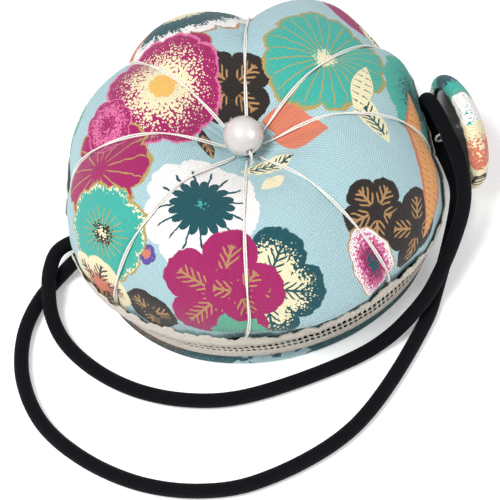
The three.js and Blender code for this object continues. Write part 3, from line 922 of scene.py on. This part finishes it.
def pearl_stitch():
    reach, foot = PEARL_RADIUS + 0.9, -3.1
    half = [(reach, foot), (reach, -1.4), (reach - 0.5, -0.2), (PEARL_RADIUS - 0.3, 0)]
    route = [(-y, z) for y, z in half] + half[::-1]
    path = smooth_path([PEARL_CENTRE + [0, y, z] for y, z in route], 0.15)
    piece = tube_object("pearl_tie", twisted(path, 2, 0.16, 3.0), STRAND_RADIUS, 8)
    dress(piece, thread_look)
    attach(piece, "cushion")
    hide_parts("pearl_stitch")


pearl()
pearl_stitch()

# ---------------------------------------------------------------- lace

LACE_ENDS = (180, 526)  # azimuths of the band's two ends
LACE_PITCH = 1.2
LACE_BOTTOM = 5.3
LACE_ROWS = 9
HOLE_ROWS = (2, 3)
HOLE_SHIFT = 0.17  # of a cell, so that the two rows of holes don't line up
LACE_HEIGHT = 8.0
LACE_THICKNESS = 0.22
LACE_CLEARANCE = 0.75  # from the disc's edge to the middle of the band
LACE_TOP_SHARE = 0.9997  # on the upper side, just above the widest height
CELL_EDGE = ((0, 0), (0.5, 0), (1, 0), (1, 0.5), (1, 1), (0.5, 1), (0, 1), (0, 0.5))


def lace_profile(azimuth):
    """The band's middle line at one azimuth, from its lower edge up."""
    a = math.radians(azimuth)
    outward = np.array([math.cos(a), math.sin(a), 0])
    points = []
    for z in (LACE_BOTTOM, 7.5):
        points.append(tuck_front((*(BASE_RADIUS * outward[:2]), z), BASE_TUCK) + outward * LACE_CLEARANCE)
    upper = ((0.95, True, 0.1), (0.99, True, 0.3), (1, True, 0.5), (LACE_TOP_SHARE, False, 0.6))
    for share, below, sag in upper:
        point = cushion_point(azimuth, share, below, groove=sag * GROOVE_DEPTH)
        points.append(point + outward * (0.6 - 0.4 * sag))
    return resample(np.array(points), 0.1)


def lace_band():
    start, end = LACE_ENDS
    around = math.radians(end - start) * (BASE_RADIUS + LACE_CLEARANCE)
    count = round(around / LACE_PITCH)
    lines = [lace_profile(start + (end - start) * i / (2 * count)) for i in range(2 * count + 1)]

    def place(along, up):
        """A point of the band: along in cells, up from 0 at the lower edge to 1 at the upper."""
        x = min(max(along * 2, 0), 2 * count - 1e-6)
        i, part = int(x), x - int(x)
        wave = 0.05 * math.sin(along * 1.9) + 0.05 * math.sin(along * 0.83 + 1) + 0.03 * math.sin(along * 4.7)
        up = up * (1 + wave * up)
        p = []
        for line in (lines[i], lines[i + 1]):
            y = min(max(up, 0), 1) * (len(line) - 1)
            j = min(int(y), len(line) - 2)
            p.append(line[j] + (line[j + 1] - line[j]) * (y - j) + (0, 0, max(0, up - 1) * LACE_HEIGHT))
        a = math.radians(start + (end - start) * along / count)
        ruffle = 0.16 * up * math.sin(along * 1.3 + 1.2 * math.sin(along * 0.4))
        ruffle = max(0, ruffle + 0.07 * math.sin(along * 2 * math.pi))
        return p[0] * (1 - part) + p[1] * part + np.array([math.cos(a), math.sin(a), 0]) * ruffle

    vertices, faces, uv, known = [], [], [], {}

    def vertex(along, up):
        key = (round(along, 4), round(up, 4))
        if key not in known:
            known[key] = len(vertices)
            vertices.append(place(along, up))
        return known[key]

    def face(corners):
        faces.append([vertex(*c) for c in corners])
        uv.extend((a * LACE_PITCH, b * LACE_HEIGHT) for a, b in corners)

    for row in range(LACE_ROWS):
        low, high = row / LACE_ROWS, (row + 1) / LACE_ROWS
        for cell in range(count):
            corners = [(cell + dx, low + dy * (high - low)) for dx, dy in CELL_EDGE]
            mid = (cell + 0.5, (low + high) / 2)
            if row in HOLE_ROWS:
                shift = 0.0 if row == HOLE_ROWS[0] else HOLE_SHIFT
                hole = []
                for a, b in corners:
                    dx, dy = a - mid[0], (b - mid[1]) / (high - low)
                    scale = 0.84 if dx == 0 or dy == 0 else 0.6
                    hole.append((mid[0] + shift + dx * scale, mid[1] + dy * scale * (high - low)))
                for k in range(8):
                    n = (k + 1) % 8
                    face([corners[k], corners[n], hole[n], hole[k]])
            else:
                for k in (0, 2, 4, 6):
                    face([corners[(k + 7) % 8], corners[k], corners[k + 1], mid])
    piece = mesh_object("lace_band", vertices, faces, uv)
    dress(piece, lace_material())
    solid = piece.modifiers.new("thickness", "SOLIDIFY")
    solid.thickness = LACE_THICKNESS * MM
    solid.offset = 0
    apply_modifiers(piece)
    piece.data.shade_smooth()
    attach(piece, "cushion")
    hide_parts("lace_trim")


lace_band()

# ---------------------------------------------------------------- base

BASE_THICKNESS = 4.2
BASE_FOLD_RADIUS = 24.0
BASE_CORNER = 0.8
BASE_COTTON_THICKNESS = 0.4
BASE_WEAVE = 6.8  # radians a millimetre


def lathe_mesh(profile, sides, turn):
    """Vertices and faces of a profile of (radius, height) turned about an axis.

    turn gives the place of (radius, angle, height).
    """
    count = len(profile)
    vertices, faces = [], []
    for i in range(sides):
        angle = 2 * math.pi * i / sides
        vertices += [turn(r, angle, h) for r, h in profile]
        n = (i + 1) % sides
        for j in range(count - 1):
            faces.append([i * count + j, n * count + j, n * count + j + 1, i * count + j + 1])
    return vertices, faces


def base_material():
    """The same cotton wrapped round the disc, in large blots of dark teal, pale blue, coral and brown."""
    g = Graph("base_cotton")
    place = g.object_mm()
    patch = g.new("ShaderNodeTexVoronoi", {"Vector": place, "Scale": 0.055})
    pick = g.new("ShaderNodeSeparateXYZ", {0: patch.outputs["Color"]}).outputs[0]
    dots = g.new("ShaderNodeTexVoronoi", {"Vector": place, "Scale": 1.4}).outputs["Distance"]
    colour = g.mix(g.step(pick, 0.42, 0.45), COLOURS["deep"], COLOURS["ground"])
    colour = g.mix(g.step(pick, 0.68, 0.7), colour, COLOURS["coral"])
    colour = g.mix(g.step(pick, 0.86, 0.88), colour, COLOURS["brown"])
    blots = g.noise(place, 0.35, 3.0)
    colour = g.mix(g.step(blots, 0.58, 0.6), colour, COLOURS["deep"])
    colour = g.mix(g.math("MULTIPLY", g.step(dots, 0.26, 0.2), 0.8), colour, COLOURS["teal"])
    u, v = g.cloth_uv()
    warp = g.math("ABSOLUTE", g.math("SINE", g.math("MULTIPLY", u, BASE_WEAVE)))
    weft = g.math("ABSOLUTE", g.math("SINE", g.math("MULTIPLY", v, BASE_WEAVE)))
    weave = g.math("ADD", warp, weft)
    return g.finish(Base_Color=colour, Roughness=0.88, Sheen_Weight=0.1, Normal=g.bump(weave, 0.0001, 0.5))


def base_cover():
    r, t, corner = BASE_RADIUS, BASE_THICKNESS, BASE_CORNER

    def arc(cx, cz, radius, a0, a1, steps):
        return [(cx + radius * math.cos(a), cz + radius * math.sin(a)) for a in np.linspace(a0, a1, steps)]

    outer = [(0.01, 0), (8, 0), (16, 0), (24, 0), (30, 0)] + arc(r - corner, corner, corner, -np.pi / 2, 0, 6)
    outer += arc(r - corner, t - corner, corner, 0, np.pi / 2, 6) + [(30, t), (27, t), (BASE_FOLD_RADIUS, t)]

    def turn(radius, angle, height):
        gather = 0.09 * math.sin(46 * angle + 2 * math.sin(5 * angle)) * max(0, (height - 2) / 2.2)
        slack = 0.06 * math.sin(7 * angle + 1) + 0.05 * math.sin(13 * angle)
        if radius > r - 2:
            radius += slack * 0.6 + gather + 0.1
        p = (radius * math.cos(angle), radius * math.sin(angle), height)
        return tuck_front(p, BASE_TUCK)

    vertices, faces = lathe_mesh(outer, 180, turn)
    along = np.concatenate([[0], np.cumsum(np.hypot(*np.diff(np.array(outer), axis=0).T))])
    uv = []
    for face in faces:
        i = face[0] // len(outer)
        for corner_index, v in enumerate(face):
            turned = i + (corner_index in (1, 2))
            uv.append((turned * 2 * math.pi * r / 180, along[v % len(outer)]))
    piece = mesh_object("base_cloth", vertices, faces, uv)
    dress(piece, base_material())
    thicken(piece, BASE_COTTON_THICKNESS, 0)
    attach(piece, "cushion")
    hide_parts("base_cover")


base_cover()

# ---------------------------------------------------------------- button

BUTTON_CENTRE_HEIGHT = 13.0
BUTTON_RADIUS = 12.0
BUTTON_BACK = 42.5
BUTTON_FRONT = 47.9
BUTTON_COTTON_THICKNESS = 0.35
BUTTON_PRINT = [
    dict(
        at=(2, 5), size=15, petals=9, notch=0.12, turn=20,
        zones=((0.35, "cream"), (0.72, "white"), (1, "teal")), stipple=0.25,
    ),
    dict(
        at=(-9, 4), size=8, petals=5, notch=0.2, turn=0,
        zones=((0.62, "coral"), (1, "cream")), stipple=0.4,
    ),
    dict(
        at=(-11, -4), size=7.5, petals=5, notch=0.25, turn=30,
        zones=((1, "cream"),), fern="brown",
    ),
    dict(
        at=(8, 9), size=7.5, petals=8, notch=0.1, turn=0,
        zones=((0.42, "deep"), (0.85, "teal"), (1, "green")), stipple=0.2,
    ),
    dict(
        at=(2, -5), size=7.5, petals=5, notch=0.25, turn=50,
        zones=((0.4, "yellow"), (1, "magenta")), stipple=0.3,
    ),
]


def button_cover():
    rim = BUTTON_BACK + 1.3
    crown = BUTTON_FRONT - rim
    profile = [(BUTTON_RADIUS * math.sin(a), rim + crown * math.cos(a)) for a in np.linspace(0.001, np.pi / 2, 20)]
    profile += [(BUTTON_RADIUS * (0.97 + 0.03 * math.cos(a)), rim - 1.1 * math.sin(a)) for a in (0.5, 1.0)]
    profile += [(11.4, BUTTON_BACK + 0.08), (10.8, BUTTON_BACK), (9.9, BUTTON_BACK + 0.05)]

    def turn(radius, angle, x):
        fold = 0.12 * math.sin(22 * angle + 2 * math.sin(3 * angle)) * max(0, 1 - (x - BUTTON_BACK) / 1.6)
        slack = 0.05 * math.sin(5 * angle + radius) * min(1, radius / 5)
        y, z = radius * math.cos(angle), radius * math.sin(angle)
        x += (fold if radius < 11.7 else 0) + slack * 0.3
        return np.array([x, y * (1 + fold * 0.008), BUTTON_CENTRE_HEIGHT + z])

    vertices, faces = lathe_mesh(profile, 96, turn)
    uv = [tuple(vertices[v][1:]) for face in faces for v in face]
    piece = mesh_object("button_cloth", vertices, faces, uv)
    for spot in BUTTON_PRINT:
        y, z = spot["at"]
        centre = (BUTTON_FRONT - 1.5, y, BUTTON_CENTRE_HEIGHT + z)
        spot["frame"] = [centre, (0, 1, 0), (0, 0, 1), (1, 0, 0)]
    dress(piece, printed_cotton("button_cotton", BUTTON_PRINT))
    thicken(piece, BUTTON_COTTON_THICKNESS, SMOOTHING)
    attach(piece, "button")
    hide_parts("button_fabric")


def button_ties():
    """The ring of thread that ties the button's wire loop to the cushion."""
    centre, radius = 40.1, 1.3
    turns = np.linspace(0, 2 * np.pi, 49)
    ring = np.stack([centre + radius * np.cos(turns), 0 * turns, BUTTON_CENTRE_HEIGHT + radius * np.sin(turns)], -1)
    path = resample(ring, 0.12)
    piece = tube_object("button_tie", twisted(path, 2, 0.13, 2.0), 0.15, 8)
    dress(piece, thread_look)
    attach(piece, "stitch")
    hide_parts("button_stitch")


button_cover()
button_ties()

# ---------------------------------------------------------------- materials of the CAD nodes that stay

dress(elastic, braided_elastic())
STEEL = tinted("tinned_steel", "C2C4C6", "A6A9AC", 0.8, 0.00001, 0.3, 1.0)
KEPT = {
    "fibre_filling": tinted("fibre", "F7F7F3", "E4E4DF", 2.5, 0.0003, 0.95),
    "gathering_thread": tinted("gather_thread", "EFEAE4", "D8D2CA", 5.0),
    "core_thread": tinted("core_cord", "EFEAE4", "D8D2CA", 5.0),
    "base_board": tinted("greyboard", "9C8A70", "857359", 1.2),
    "glue_bed": tinted("dried_glue", "E9E4D6", "D9D2BF", 0.5, 0.0001, 0.4),
    "button_shell": STEEL,
    "button_back_plate": STEEL,
    "button_wire_loop": STEEL,
}
for name, look in KEPT.items():
    dress(bpy.data.objects[name], look)

# ---------------------------------------------------------------- stage


def add_floor():
    bpy.ops.mesh.primitive_plane_add(size=3, location=(0, 0, -0.0002))
    floor = bpy.context.object
    floor.name = "floor"
    g = Graph("pale_floor")
    grain = g.noise(g.object_mm(), 0.02)
    colour = g.mix(grain, (0.93, 0.93, 0.93, 1), (0.96, 0.96, 0.96, 1))
    white = {"Emission_Color": (1, 1, 1, 1), "Emission_Strength": 0.3}
    dress(floor, g.finish(Base_Color=colour, Roughness=0.9, **white))


def add_world():
    """Bright above and dimmer at the horizon."""
    world = bpy.data.worlds.new("studio")
    world.use_nodes = True
    nodes, links = world.node_tree.nodes, world.node_tree.links
    split = nodes.new("ShaderNodeSeparateXYZ")
    ramp = nodes.new("ShaderNodeValToRGB")
    horizon, zenith = ramp.color_ramp.elements
    horizon.position, horizon.color = 0.5, (0.3, 0.3, 0.31, 1)
    zenith.position, zenith.color = 0.95, (1, 1, 1, 1)
    links.new(nodes.new("ShaderNodeTexCoord").outputs["Generated"], split.inputs[0])
    half = nodes.new("ShaderNodeMath")
    half.operation = "MULTIPLY_ADD"
    half.inputs[1].default_value = half.inputs[2].default_value = 0.5
    links.new(split.outputs[2], half.inputs[0])
    links.new(half.outputs[0], ramp.inputs[0])
    links.new(ramp.outputs[0], nodes["Background"].inputs[0])
    nodes["Background"].inputs[1].default_value = 0.5
    bpy.context.scene.world = world


def add_lights():
    for name, place, size, power in (
        ("key", (-0.45, -0.1, 0.9), 0.35, 8.5),
        ("fill", (0.7, -0.5, 0.7), 0.8, 3.2),
    ):
        data = bpy.data.lights.new(name, "AREA")
        data.size = size
        data.energy = power
        light = bpy.data.objects.new(name, data)
        light.location = place
        light.rotation_euler = (-Vector(place)).to_track_quat("-Z", "Y").to_euler()
        bpy.context.scene.collection.objects.link(light)


add_floor()
add_world()
add_lights()
bpy.context.scene.view_settings.view_transform = "Standard"
